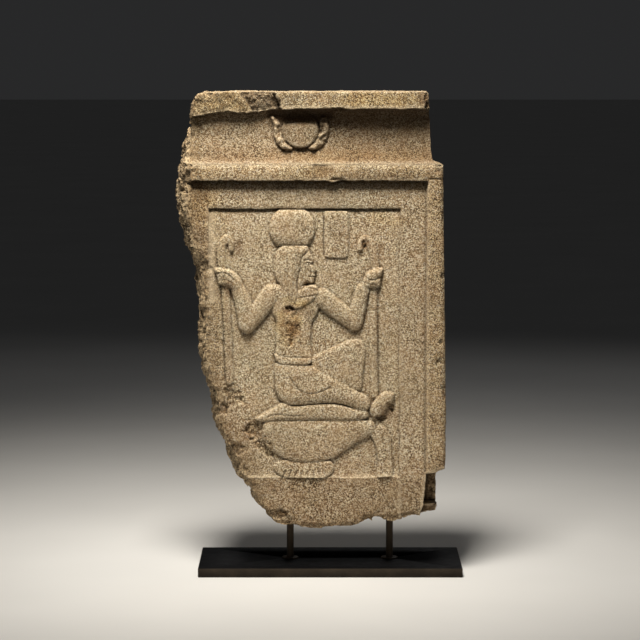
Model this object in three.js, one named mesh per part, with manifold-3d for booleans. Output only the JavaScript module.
// Carved stone stele in the shape of a small shrine front, broken down its left side and along its
// foot, held on two upright rods over a flat metal plate. Millimetres, +Z up, the carved face
// towards -Y. The origin is the middle of the plate's underside.

import * as THREE from 'three';
import { mergeVertices } from 'three/addons/utils/BufferGeometryUtils.js';
import Module from 'manifold-3d';

const wasm = await Module();
wasm.setup();

// Plate and rods
const plateWidth = 372;
const plateDepth = 160;
const plateThickness = 12.7;
const plateEdgeBevel = 0.8;
const rodDiameter = 10;
const rodFootDiameter = 24;
const rodFootHeight = 1.5;
const rodInPlate = 8;
const rodInStone = 60;
const leftRodX = -57;
const rightRodX = 85;
const clearance = 0.3;
const rodSides = 24;

// Stone, over all
const stoneHeight = 614.6;
const stoneThickness = 110;
const stoneLift = 52;
const designAxisX = -37;
const breakReach = 179;

// Shrine front, from the top down
const filletHeight = 23.5;
const corniceHeight = 77.8;
const bandHeight = 22;
const lintelHeight = 39.6;
const panelHeight = 380;

// Shrine front, from the middle of the panel outwards
const panelHalfWidth = 133.5;
const jambWidth = 34.6;
const frameWidth = 26.4;
const corniceInset = 21;
const sideBatter = 5;

// Depths below the outer face, and heights of the carving above the panel floor
const corniceDepth = 19;
const jambDepth = 7;
const panelDepth = 10;
const frameChamfer = 4;
const reliefSink = 3;
const discRelief = 3;
const ribRelief = 1.8;
const tabletRelief = 1.2;
const torsoRelief = 4.5;
const wigRelief = 5.4;
const faceRelief = 4.4;
const collarRelief = 5.3;
const armRelief = 5.6;
const fistRelief = 6.2;
const beltRelief = 5.4;
const kneeRelief = 4.2;
const thighRelief = 6;
const shinRelief = 4.8;
const toeRelief = 4.6;
const bowlRelief = 4.4;
const strapRelief = 2;
const fringeRelief = 3.2;
const fringeStrands = 9;

// Cornice disc and the two cobras beside it
const corniceDiscRadius = 24;
const corniceDiscDrop = 31.5;
const corniceDiscShift = -4;
const corniceDiscRelief = 9;
const cobraWidth = 16;

// Losses
const filletLoss = 6;
const filletScarDepth = 5;
const filletScarShift = -60;
const filletScarWidth = 60;
const bandScarShift = 26;
const bandScarWidth = 56;
const bandScarHeight = 21;
const bandScarDepth = 2.2;
const cornerLossDepth = 48;
const cornerLedgeDepth = 26;

// Levels and planes that follow from the sizes above
const stoneBottom = plateThickness + stoneLift;
const stoneTop = stoneBottom + stoneHeight;
const filletBottom = stoneTop - filletHeight;
const bandTop = filletBottom - corniceHeight;
const bandBottom = bandTop - bandHeight;
const panelTop = bandBottom - lintelHeight;
const panelBottom = panelTop - panelHeight;
const faceY = -stoneThickness / 2;
const panelY = faceY + panelDepth;
const panelRight = designAxisX + panelHalfWidth;
const panelLeft = designAxisX - panelHalfWidth;
const frameInner = panelRight + jambWidth;
const frameOuter = frameInner + frameWidth;
const corniceRight = frameOuter - corniceInset;
const beyond = 60;

// The figure is carved in hundredths of the panel's height, across from the panel's middle line and
// up from its foot.
const unit = panelHeight / 100;
const place = ([across, up]) => new THREE.Vector2(designAxisX + across * unit, panelBottom + up * unit);

// The break down the left side, from the top: height as a share of the stone's, the outermost
// stone and, last, how far in from it the carved face ends, as shares of breakReach.
const leftBreak = [
  [0.997, 0.757, 0],
  [0.991, 0.835, 0.005],
  [0.977, 0.865, 0.013],
  [0.946, 0.887, 0.017],
  [0.922, 0.881, 0.012],
  [0.907, 0.919, 0.045],
  [0.885, 0.948, 0.067],
  [0.852, 0.969, 0.078],
  [0.803, 0.984, 0.1],
  [0.763, 1, 0.1],
  [0.721, 0.976, 0.071],
  [0.681, 0.949, 0.078],
  [0.633, 0.894, 0.078],
  [0.615, 0.88, 0.115],
  [0.582, 0.845, 0.067],
  [0.539, 0.838, 0.064],
  [0.486, 0.829, 0.061],
  [0.456, 0.84, 0.073],
  [0.414, 0.833, 0.07],
  [0.383, 0.806, 0.05],
  [0.341, 0.771, 0.042],
  [0.311, 0.744, 0.065],
  [0.253, 0.718, 0.061],
  [0.218, 0.679, 0.048],
  [0.188, 0.617, 0.04],
  [0.163, 0.62, 0.095],
  [0.128, 0.567, 0.106],
  [0.103, 0.503, 0.084],
  [0.093, 0.436, 0.031],
  [0.065, 0.42, 0.066],
  [0.041, 0.361, 0.063],
  [0.014, 0.275, 0.055],
];

// The break along the foot, from the left: across from the design's axis as a share of breakReach,
// height as a share of the stone's.
const footBreak = [
  [-0.173, 0.01],
  [-0.052, 0.007],
  [0.068, 0],
  [0.2, 0.005],
  [0.4, 0.007],
  [0.471, 0.016],
  [0.572, 0.026],
  [0.702, 0.019],
  [0.803, 0.026],
  [0.922, 0.035],
  [1.04, 0.042],
];

// Foot of the outer frame, broken off above the lower right corner
const cornerLossTop = stoneBottom + 0.131 * stoneHeight;
const cornerLedge = stoneBottom + 0.048 * stoneHeight;
const cornerRight = designAxisX + 1.04 * breakReach;

// A steady unevenness between -1 and 1 for broken stone
function unevenness(a, b, c) {
  return (
    0.45 * Math.sin(0.071 * a + 0.113 * b + 0.052 * c + 0.4) +
    0.33 * Math.sin(0.187 * a - 0.149 * b + 0.121 * c + 1.9) +
    0.22 * Math.sin(0.311 * a + 0.277 * b - 0.293 * c + 3.1)
  );
}

// A curve through every given point, each stretch cut into equal parts
function spanPoints(points, parts) {
  const curve = new THREE.CatmullRomCurve3(points, false, 'centripetal');
  return curve.getPoints(parts * (points.length - 1));
}

// Corners of the stone, counter-clockwise seen from the front, each as
// {x, z, inset, wear}: wear is 1 on broken stone and 0 on worked edges.
function stoneOutline() {
  const heightAt = (share) => stoneBottom + share * stoneHeight;
  const left = spanPoints(
    leftBreak.map(([h, out, inset]) => new THREE.Vector3(
      designAxisX - out * breakReach, heightAt(h), inset * breakReach)),
    2,
  ).map((p) => ({ x: p.x, z: p.y, inset: p.z, wear: 1 }));
  const foot = spanPoints(
    footBreak.map(([across, h]) => new THREE.Vector3(
      designAxisX + across * breakReach, heightAt(h), 0)),
    2,
  ).map((p) => ({ x: p.x, z: p.y, inset: 0, wear: 1 }));
  const lower = [
    [cornerRight + 1, cornerLedge],
    [cornerRight + 1, 0.5 * (cornerLedge + cornerLossTop)],
    [cornerRight + 2, cornerLossTop - 2],
    [frameOuter + sideBatter - 1, cornerLossTop + 4],
    [frameOuter + sideBatter, cornerLossTop + 16],
  ].map(([x, z]) => ({ x, z, inset: 0, wear: 0.4 }));
  const worked = [
    [frameOuter + sideBatter, cornerLossTop + 0.24 * panelHeight],
    [frameOuter, bandBottom],
    [frameOuter, bandTop - 1],
    [frameOuter - 0.35 * corniceInset, bandTop + 2],
    [frameOuter - 0.72 * corniceInset, bandTop + 6],
    [corniceRight + 4, bandTop + 0.3 * corniceHeight],
    [corniceRight + 2.5, filletBottom - 0.3 * corniceHeight],
    [corniceRight + 1, filletBottom],
    [corniceRight, stoneTop - 2],
    [corniceRight - 2, stoneTop],
    [designAxisX, stoneTop],
    [designAxisX - 0.6 * breakReach, stoneTop],
  ].map(([x, z]) => ({ x, z, inset: 0, wear: 0 }));
  return [...left, ...foot, ...lower, ...worked];
}

// The uncut block: outline rings at several depths, from the face to the back. The break widens
// behind the face, and broken stone is uneven; the back's own edges are worn round.
function stoneBlock() {
  const outline = stoneOutline();
  const rings = [
    { depth: 0, inset: 1, rise: 0, uneven: 0.8, shrink: 0 },
    { depth: 0.06, inset: 0.55, rise: 0.5, uneven: 2, shrink: 0 },
    { depth: 0.17, inset: 0.2, rise: 1.5, uneven: 2.6, shrink: 0 },
    { depth: 0.34, inset: 0, rise: 3, uneven: 2.2, shrink: 0 },
    { depth: 0.58, inset: 0.1, rise: 4, uneven: 3.4, shrink: 0 },
    { depth: 0.8, inset: 0.5, rise: 6, uneven: 4.2, shrink: 0 },
    { depth: 0.95, inset: 1, rise: 9, uneven: 3.5, shrink: 0.5 },
    { depth: 1, inset: 1.4, rise: 14, uneven: 2, shrink: 4 },
  ];
  const middle = new THREE.Vector2(designAxisX, stoneBottom + 0.55 * stoneHeight);
  const positions = [];
  for (const ring of rings) {
    const y = faceY + ring.depth * stoneThickness;
    for (const corner of outline) {
      const wobble = ring.uneven * corner.wear;
      const onFoot = corner.z < stoneBottom + 0.06 * stoneHeight ? 1 : 0;
      const inward = new THREE.Vector2(middle.x - corner.x, middle.y - corner.z).normalize();
      const x = corner.x + corner.inset * ring.inset + wobble * unevenness(corner.z, y, 3) +
        inward.x * ring.shrink;
      const z = corner.z + ring.rise * onFoot * corner.wear + onFoot * wobble * 0.5 * (
        1 + unevenness(corner.x, y, 11)) + inward.y * ring.shrink;
      positions.push(x, y, z);
    }
  }
  const count = outline.length;
  const faces = [];
  for (let r = 0; r + 1 < rings.length; r += 1) {
    for (let i = 0; i < count; i += 1) {
      const j = (i + 1) % count;
      const a = r * count + i;
      const b = r * count + j;
      faces.push(a, a + count, b, b, a + count, b + count);
    }
  }
  const flat = (ring) => outline.map((_, i) => {
    const k = 3 * (ring * count + i);
    return new THREE.Vector2(positions[k], positions[k + 2]);
  });
  for (const [a, b, c] of THREE.ShapeUtils.triangulateShape(flat(0), [])) {
    faces.push(a, b, c);
  }
  const back = (rings.length - 1) * count;
  for (const [a, b, c] of THREE.ShapeUtils.triangulateShape(flat(rings.length - 1), [])) {
    faces.push(back + a, back + c, back + b);
  }
  const geometry = new THREE.BufferGeometry();
  geometry.setAttribute('position', new THREE.Float32BufferAttribute(positions, 3));
  geometry.setIndex(faces);
  return geometry;
}

// Closed mesh to solid, and back
function solidOf(geometry) {
  const bare = geometry.clone();
  bare.deleteAttribute('normal');
  bare.deleteAttribute('uv');
  const merged = mergeVertices(bare);
  return new wasm.Manifold(new wasm.Mesh({
    numProp: 3,
    vertProperties: new Float32Array(merged.attributes.position.array),
    triVerts: new Uint32Array(merged.index.array),
  }));
}

function geometryOf(solid) {
  const mesh = solid.getMesh();
  const geometry = new THREE.BufferGeometry();
  geometry.setAttribute('position', new THREE.BufferAttribute(new Float32Array(mesh.vertProperties), 3));
  geometry.setIndex(new THREE.BufferAttribute(new Uint32Array(mesh.triVerts), 1));
  geometry.computeVertexNormals();
  return geometry;
}

// Outline in the face's plane (x, z), extruded from one depth to another: front is nearer -Y.
function facing(points, frontY, backY, bevel = { size: 0, height: 0, steps: 0 }) {
  const shape = new THREE.Shape(points);
  const geometry = new THREE.ExtrudeGeometry(shape, {
    depth: backY - frontY - 2 * bevel.height,
    steps: 1,
    bevelEnabled: bevel.size > 0,
    bevelSize: bevel.size,
    bevelOffset: -bevel.size,
    bevelThickness: bevel.height,
    bevelSegments: bevel.steps,
  });
  geometry.rotateX(Math.PI / 2);
  geometry.translate(0, backY - bevel.height, 0);
  return solidOf(geometry);
}

// One raised form on the panel floor, with a rounded edge
function raised(points, relief, roundWidth, steps = 2) {
  return facing(points, panelY - relief, panelY + reliefSink, {
    size: roundWidth,
    height: Math.min(0.8 * relief, 0.45 * (relief + reliefSink)),
    steps,
  });
}

function smooth(points, divisions) {
  const curve = new THREE.CatmullRomCurve3(
    points.map(place).map((p) => new THREE.Vector3(p.x, p.y, 0)), true, 'centripetal');
  return curve.getSpacedPoints(divisions).slice(0, -1).map((p) => new THREE.Vector2(p.x, p.y));
}

function oval([across, up], radiusAcross, radiusUp, sides = 20) {
  const middle = place([across, up]);
  return Array.from({ length: sides }, (_, i) => {
    const turn = (2 * Math.PI * i) / sides;
    return new THREE.Vector2(
      middle.x + radiusAcross * unit * Math.cos(turn),
      middle.y + radiusUp * unit * Math.sin(turn),
    );
  });
}

// A limb between two round ends, its sides tangent to both
function limb([startAt, startRadius], [endAt, endRadius], sides = 7) {
  const start = place(startAt);
  const end = place(endAt);
  const r0 = startRadius * unit;
  const r1 = endRadius * unit;
  const along = end.clone().sub(start);
  const heading = Math.atan2(along.y, along.x);
  const lean = Math.acos((r0 - r1) / along.length());
  const points = [];
  for (let i = 0; i <= sides; i += 1) {
    const turn = heading - lean + (2 * lean * i) / sides;
    points.push(new THREE.Vector2(end.x + r1 * Math.cos(turn), end.y + r1 * Math.sin(turn)));
  }
  for (let i = 0; i <= sides; i += 1) {
    const turn = heading + lean + ((2 * Math.PI - 2 * lean) * i) / sides;
    points.push(new THREE.Vector2(start.x + r0 * Math.cos(turn), start.y + r0 * Math.sin(turn)));
  }
  return points;
}

const rectangle = (x0, z0, x1, z1) => [
  new THREE.Vector2(x0, z0),
  new THREE.Vector2(x1, z0),
  new THREE.Vector2(x1, z1),
  new THREE.Vector2(x0, z1),
];

// Profile in (y, z), extruded along X between two places
function moulding(profile, x0, x1) {
  const shape = new THREE.Shape(profile.map(([y, z]) => new THREE.Vector2(y, z)));
  const geometry = new THREE.ExtrudeGeometry(shape, { depth: x1 - x0, steps: 1, bevelEnabled: false });
  geometry.applyMatrix4(new THREE.Matrix4().set(
    0, 0, 1, x0,
    1, 0, 0, 0,
    0, 1, 0, 0,
    0, 0, 0, 1,
  ));
  return solidOf(geometry);
}

// The hollow moulding under the fillet: deepest near the top, sweeping forward to the band
function corniceHollow() {
  const steps = 7;
  const profile = [[faceY - beyond, bandTop], [faceY, bandTop]];
  const sweep = 0.42 * corniceHeight;
  for (let i = 1; i <= steps; i += 1) {
    const turn = (i / steps) * (Math.PI / 2);
    profile.push([
      faceY + corniceDepth * Math.sin(turn),
      bandTop + sweep * (1 - Math.cos(turn)),
    ]);
  }
  const brow = 0.14 * corniceHeight;
  for (let i = 0; i <= 3; i += 1) {
    const turn = (i / 3) * (Math.PI / 2);
    profile.push([
      faceY + corniceDepth * (0.45 + 0.55 * Math.cos(turn)),
      filletBottom - brow + brow * Math.sin(turn),
    ]);
  }
  profile.push([faceY - beyond, filletBottom]);
  return moulding(profile, designAxisX - breakReach - beyond, frameOuter + beyond);
}

// Lintel and jambs, one level down, inside the outer frame: its inner side is sloped
function jambRecess() {
  const floor = faceY + jambDepth;
  const left = designAxisX - breakReach - beyond;
  const foot = stoneBottom - beyond;
  const shape = [
    new THREE.Vector2(left, faceY - beyond),
    new THREE.Vector2(frameInner + frameChamfer, faceY - beyond),
    new THREE.Vector2(frameInner + frameChamfer, faceY),
    new THREE.Vector2(frameInner, floor),
    new THREE.Vector2(left, floor),
  ];
  const geometry = new THREE.ExtrudeGeometry(new THREE.Shape(shape), {
    depth: bandBottom - foot,
    steps: 1,
    bevelEnabled: false,
  });
  geometry.translate(0, 0, foot);
  return solidOf(geometry);
}

function panelRecess() {
  const main = facing(rectangle(panelLeft, panelBottom, panelRight, panelTop), faceY - beyond, panelY);
  const lostJamb = facing(
    rectangle(panelLeft - beyond, panelBottom, panelLeft + 1, panelTop - 0.19 * panelHeight),
    faceY - beyond,
    panelY,
  );
  return main.add(lostJamb);
}

// Broken places: the fillet's left stretch and scar, the scooped chip in the band, and the lost
// foot of the outer frame with its ledge
function losses() {
  const scarLeft = designAxisX + filletScarShift - 0.5 * filletScarWidth;
  const scarRight = scarLeft + filletScarWidth;
  const front = faceY - beyond;
  const filletLeft = facing([
    new THREE.Vector2(designAxisX - breakReach - beyond, filletBottom - 20),
    new THREE.Vector2(scarLeft + 18, filletBottom - 20),
    new THREE.Vector2(scarLeft + 18, filletBottom),
    new THREE.Vector2(scarLeft, stoneTop + beyond),
    new THREE.Vector2(designAxisX - breakReach - beyond, stoneTop + beyond),
  ], front, faceY + filletLoss);
  const scar = facing([
    new THREE.Vector2(scarLeft, stoneTop + beyond),
    new THREE.Vector2(scarLeft, stoneTop),
    new THREE.Vector2(scarLeft + 10, filletBottom + 5),
    new THREE.Vector2(scarLeft + 18, filletBottom - 20),
    new THREE.Vector2(scarRight + 1, filletBottom - 20),
    new THREE.Vector2(scarRight + 1, filletBottom),
    new THREE.Vector2(scarRight - 12, stoneTop),
    new THREE.Vector2(scarRight - 12, stoneTop + beyond),
  ], front, faceY + filletLoss + filletScarDepth);
  const chip = new THREE.SphereGeometry(1, 14, 8);
  chip.scale(0.5 * bandScarWidth, 3 * bandScarDepth, 0.5 * bandScarHeight);
  chip.translate(designAxisX + bandScarShift, faceY - 2 * bandScarDepth, bandTop - 0.4 * bandHeight);
  const corner = facing([
    new THREE.Vector2(frameInner + 1, cornerLedge),
    new THREE.Vector2(frameOuter + beyond, cornerLedge + 1),
    new THREE.Vector2(frameOuter + beyond, cornerLossTop + 9),
    new THREE.Vector2(frameOuter + sideBatter, cornerLossTop + 4),
    new THREE.Vector2(frameInner + 16, cornerLossTop - 1),
    new THREE.Vector2(frameInner + 4, cornerLossTop - 2),
    new THREE.Vector2(frameInner + 3, 0.5 * (cornerLedge + cornerLossTop)),
  ], front, faceY + cornerLossDepth);
  const ledge = facing([
    new THREE.Vector2(frameInner - 3, cornerLedge - 10),
    new THREE.Vector2(frameInner - 9, cornerLedge - beyond),
    new THREE.Vector2(frameOuter + beyond, cornerLedge - beyond),
    new THREE.Vector2(frameOuter + beyond, cornerLedge + 2),
    new THREE.Vector2(frameInner + 1, cornerLedge + 1),
  ], front, faceY + cornerLedgeDepth);
  return [filletLeft, scar, solidOf(chip), corner, ledge];
}

// Disc with a cobra on each side, against the hollow of the cornice
function corniceDisc() {
  const middle = new THREE.Vector2(
    designAxisX + corniceDiscShift, filletBottom - corniceDiscDrop);
  const backY = faceY + corniceDepth + reliefSink;
  const frontY = faceY + corniceDepth - corniceDiscRelief;
  const round = { size: 4, height: 4, steps: 2 };
  const sides = 26;
  const disc = Array.from({ length: sides }, (_, i) => {
    const turn = (2 * Math.PI * i) / sides;
    return new THREE.Vector2(
      middle.x + corniceDiscRadius * Math.cos(turn), middle.y + corniceDiscRadius * Math.sin(turn));
  });
  const cobra = (side) => {
    const inner = [];
    const outer = [];
    const steps = 6;
    for (let i = 0; i <= steps; i += 1) {
      const turn = THREE.MathUtils.degToRad(-76 + (104 * i) / steps);
      const hugging = corniceDiscRadius - 3;
      const reach = corniceDiscRadius + cobraWidth * Math.min(1, 0.45 + (0.9 * i) / steps);
      inner.push(new THREE.Vector2(
        middle.x + side * hugging * Math.cos(turn), middle.y + hugging * Math.sin(turn)));
      outer.push(new THREE.Vector2(
        middle.x + side * reach * Math.cos(turn), middle.y + reach * Math.sin(turn)));
    }
    const loop = [...outer, ...inner.reverse()];
    return side > 0 ? loop : loop.reverse();
  };
  return [
    facing(disc, frontY, backY, round),
    facing(cobra(-1), frontY + 1.5, backY, { size: 2, height: 2.5, steps: 1 }),
    facing(cobra(1), frontY + 1.5, backY, { size: 2, height: 2.5, steps: 1 }),
  ];
}

// Face in profile, on even thirds from the hairline to the chin: brow, foot of the nose, chin.
function faceOutline() {
  const hairline = 84.4;
  const chin = 72.6;
  const third = (hairline - chin) / 3;
  const front = 3.3;
  return [
    [-3, hairline + 1.2],
    [front - 1.6, hairline + 0.8],
    [front - 0.3, hairline - 0.5 * third],
    [front - 0.1, hairline - third],
    [front - 0.3, hairline - 1.2 * third],
    [front + 1.4, hairline - 1.85 * third],
    [front + 0.5, hairline - 2 * third],
    [front + 0.9, hairline - 2.25 * third],
    [front + 0.6, hairline - 2.5 * third],
    [front + 0.5, chin + 0.7],
    [front - 0.5, chin],
    [front - 2.2, chin + 0.4],
    [-2.6, chin - 2.6],
  ];
}

// The kneeling figure, from head to knees
function figure() {
  const head = [
    raised(oval([-4.3, 92.8], 8.42, 8.42, 32), discRelief, 3, 2)
      .intersect(facing(
        rectangle(panelLeft, panelBottom + 86.4 * unit, panelRight, panelTop + 0.5),
        faceY - beyond,
        faceY + beyond,
      )),
    raised(faceOutline().map(place).reverse(), faceRelief, 1.2, 2),
    raised(smooth([
      [-8.6, 86.1], [-10.5, 83], [-10.9, 79], [-10.5, 75], [-8.6, 71], [-7, 66], [-3.2, 63.6],
      [-2.2, 68], [-2.3, 73], [-1.2, 78], [-0.6, 82], [1.6, 84.4], [1.4, 86.2], [-3.5, 86.5],
    ], 34), wigRelief, 3, 2),
    raised(smooth([
      [-3.4, 63.2], [0.6, 64.5], [3.4, 66.6], [5.4, 69.3], [4.6, 71.6], [2.6, 72], [0.4, 71],
      [-2.8, 69],
    ], 20), collarRelief, 1.8, 2),
  ];
  const body = [
    raised(smooth([
      [-13.6, 69.6], [-12.4, 71.8], [-9, 72.2], [2, 71.6], [6.4, 70], [7.8, 67.6], [6.3, 65],
      [4.6, 60.6], [3, 58.2], [2.6, 54], [2.4, 49], [2.7, 43.5], [-10.4, 43.5], [-10.2, 50],
      [-10.4, 55], [-10.2, 58.6], [-11.4, 61], [-12.4, 65],
    ], 44), torsoRelief, 3.2, 2),
    raised([
      [-10.7, 45.6], [-8.1, 44.6], [2.8, 44.2], [2.6, 42], [-5, 41.6], [-10.3, 42.2],
    ].map(place).reverse(), beltRelief, 1, 1),
  ];
  const arms = [
    raised(limb([[-12, 68.4], 3.8], [[-20.8, 56.5], 3.6]), armRelief, 7, 3),
    raised(limb([[-20.8, 56.6], 3.7], [[-27, 70], 2.5]), armRelief, 6, 3),
    raised(limb([[6.6, 67.2], 3.6], [[18.2, 57.7], 3.7]), armRelief, 7, 3),
    raised(limb([[18.4, 57.7], 3.7], [[21.6, 70], 2.5]), armRelief, 6, 3),
    raised(smooth([
      [-33, 77.6], [-30, 78.1], [-26.8, 77.4], [-24.6, 74.4], [-25.4, 71.2], [-28, 71.2], [-31, 71.9],
      [-32.2, 74.4],
    ], 18), fistRelief, 3.4, 2),
    raised(smooth([
      [28.6, 78.4], [25, 78.2], [21, 77], [19.4, 73.6], [20.4, 70.4], [23.6, 71], [28, 71.3],
      [28.6, 74.6],
    ], 18), fistRelief, 3.4, 2),
  ];
  const legs = [
    raised(smooth([
      [2.6, 44.2], [8.6, 47.8], [14.6, 50.6], [19.6, 51.9], [22, 50.6], [22.7, 46], [21.8, 39],
      [20.8, 32.6], [14, 34], [5, 39],
    ], 26), kneeRelief, 4, 2),
    raised(smooth([
      [-10.4, 41.7], [-4, 41.6], [2.2, 41], [8, 38.8], [13.4, 36.4], [18.6, 33.2], [23.8, 30],
      [24.6, 27], [22.8, 24.9], [19.2, 25.8], [14.6, 27.6], [8, 28], [0, 27.4], [-5.4, 27.4],
      [-8.6, 29], [-10.6, 33], [-10.7, 37.4],
    ], 40), thighRelief, 5, 2),
    raised(smooth([
      [-18.2, 22], [-14.6, 24.6], [-11, 26.4], [-8, 28.2], [-4, 27], [4, 27.6], [12, 27.6],
      [18, 26.2], [23.6, 25], [23.8, 23], [20, 21.7], [6, 21.6], [-7, 21.6], [-14.6, 21],
    ], 32), shinRelief, 3, 2),
    raised(smooth([
      [24.4, 25.6], [26.6, 29.6], [30, 32.4], [33.4, 31.6], [33, 29], [30.4, 25.4], [28.4, 23.2],
      [25.4, 23],
    ], 18), toeRelief, 3, 2),
  ];
  return [...head, ...body, ...arms, ...legs];
}

// Notched palm ribs, one in each hand, hooked inwards at the top
function palmRibs() {
  const width = 1.55;
  const rib = (hand, foot, side) => [
    raised(limb([foot, width], [hand, 1.7], 3), ribRelief, 1.6, 1),
    raised(limb([[hand[0] - side * 0.3, hand[1] + 6], 1.5], [[hand[0] - side * 0.1, 85.6], 1.7], 3),
      ribRelief, 1.6, 1),
    raised(limb([[hand[0] - side * 0.1, 85.8], 1.7], [[hand[0] - side * 2, 88.2], 1.5], 3),
      ribRelief, 1.6, 1),
    raised(limb([[hand[0] - side * 2, 88.2], 1.5], [[hand[0] - side * 4.2, 85.8], 0.9], 3),
      ribRelief, 1.6, 1),
  ];
  return [...rib([-29.6, 71.5], [-27.3, 36.4], -1), ...rib([25.6, 71.5], [26.2, 31], 1)];
}

// The collar sign under the knees: bowl, end strap and a fringe of strands
function collarSign() {
  const fringe = raised(smooth([
    [-9.6, 7.4], [-11.4, 4.4], [-9.4, 1.2], [-5.4, 0], [2, -0.4], [8, 0.2], [10.8, 2.2], [11.2, 5],
    [10.4, 7.4], [0, 7.8],
  ], 24), fringeRelief, 2, 2);
  const strandPitch = 20 / fringeStrands;
  const gaps = Array.from({ length: fringeStrands - 1 }, (_, i) => {
    const x = designAxisX + (-9.6 + (i + 1) * strandPitch) * unit;
    return facing(
      rectangle(x - 0.9, panelBottom - 1.2 * unit, x + 0.9, panelBottom + 3.6 * unit),
      panelY - 2 * fringeRelief,
      panelY - 0.35 * fringeRelief,
    );
  });
  const cutFringe = gaps.reduce((body, gap) => body.subtract(gap), fringe);
  return [
    raised(smooth([
      [-14.4, 21], [-4, 21.7], [8, 21.8], [22, 21.7], [26, 20.6], [26.4, 17.6], [24.4, 15.6],
      [20.4, 13.8], [16, 11], [11, 8], [6, 6.5], [-2, 6.4], [-6, 7.4], [-10, 9.4], [-14.2, 12],
      [-15.4, 16],
    ], 40), bowlRelief, 2.4, 2),
    raised([[27.6, 19], [26.2, 12], [27.6, 0], [31.8, 0], [32, 19]].map(place), strapRelief, 1.2, 1),
    cutFringe,
  ];
}

function rodSocket(x, diameter, from, to) {
  const geometry = new THREE.CylinderGeometry(diameter / 2, diameter / 2, to - from, rodSides);
  geometry.rotateX(Math.PI / 2);
  geometry.translate(x, 0, (from + to) / 2);
  return solidOf(geometry);
}

const rodFoot = plateThickness - rodInPlate + clearance;
const rodHead = stoneBottom + rodInStone;
const rodPlaces = { rod_left: leftRodX, rod_right: rightRodX };
const socketDiameter = rodDiameter + 2 * clearance;

function buildStone() {
  let stone = solidOf(stoneBlock());
  for (const cut of [corniceHollow(), jambRecess(), panelRecess()]) {
    stone = stone.subtract(cut);
  }
  const tablet = raised(
    [[7.8, 81.9], [16.2, 81.9], [16.2, 99.2], [7.8, 99.2]].map(place), tabletRelief, 0.8, 1);
  for (const form of [...corniceDisc(), ...palmRibs(), ...collarSign(), tablet, ...figure()]) {
    stone = stone.add(form);
  }
  for (const loss of losses()) {
    stone = stone.subtract(loss);
  }
  for (const x of Object.values(rodPlaces)) {
    stone = stone.subtract(rodSocket(x, socketDiameter, stoneBottom - beyond, rodHead + clearance));
  }
  // Forms that meet along a line can close off a sliver of air, so only the outermost body is kept.
  const [body] = stone.decompose().sort((a, b) => b.volume() - a.volume());
  return geometryOf(body);
}

function buildPlate() {
  const geometry = new THREE.ExtrudeGeometry(
    new THREE.Shape(rectangle(-plateWidth / 2, -plateDepth / 2, plateWidth / 2, plateDepth / 2)),
    {
      depth: plateThickness - 2 * plateEdgeBevel,
      steps: 1,
      bevelSize: plateEdgeBevel,
      bevelOffset: -plateEdgeBevel,
      bevelThickness: plateEdgeBevel,
      bevelSegments: 1,
    },
  );
  geometry.translate(0, 0, plateEdgeBevel);
  let plate = solidOf(geometry);
  for (const x of Object.values(rodPlaces)) {
    plate = plate.subtract(
      rodSocket(x, socketDiameter, plateThickness - rodInPlate, plateThickness + beyond));
  }
  return geometryOf(plate);
}

// Rod with a thin round foot that sits on the plate
function buildRod() {
  const radius = rodDiameter / 2;
  const footRadius = rodFootDiameter / 2;
  const footUnder = plateThickness + clearance;
  const edge = 0.5;
  const profile = [
    [0, rodFoot],
    [radius, rodFoot],
    [radius, footUnder],
    [footRadius, footUnder],
    [footRadius, footUnder + rodFootHeight - edge],
    [footRadius - edge, footUnder + rodFootHeight],
    [radius, footUnder + rodFootHeight],
    [radius, rodHead - edge],
    [radius - edge, rodHead],
    [0, rodHead],
  ].map(([r, z]) => new THREE.Vector2(r, z));
  const geometry = new THREE.LatheGeometry(profile, rodSides);
  geometry.rotateX(Math.PI / 2);
  return geometry;
}

const stoneMaterial = new THREE.MeshStandardMaterial({ color: 0xa8906c, roughness: 0.92, metalness: 0 });
const metalMaterial = new THREE.MeshStandardMaterial({ color: 0x2b2722, roughness: 0.42, metalness: 0.8 });

const stele = new THREE.Group();

function addPiece(name, geometry, material, x = 0) {
  const mesh = new THREE.Mesh(geometry, material);
  mesh.name = name;
  mesh.position.x = x;
  stele.add(mesh);
}

addPiece('stele', buildStone(), stoneMaterial);
addPiece('base_plate', buildPlate(), metalMaterial);
for (const [name, x] of Object.entries(rodPlaces)) {
  addPiece(name, buildRod(), metalMaterial, x);
}

export default stele;
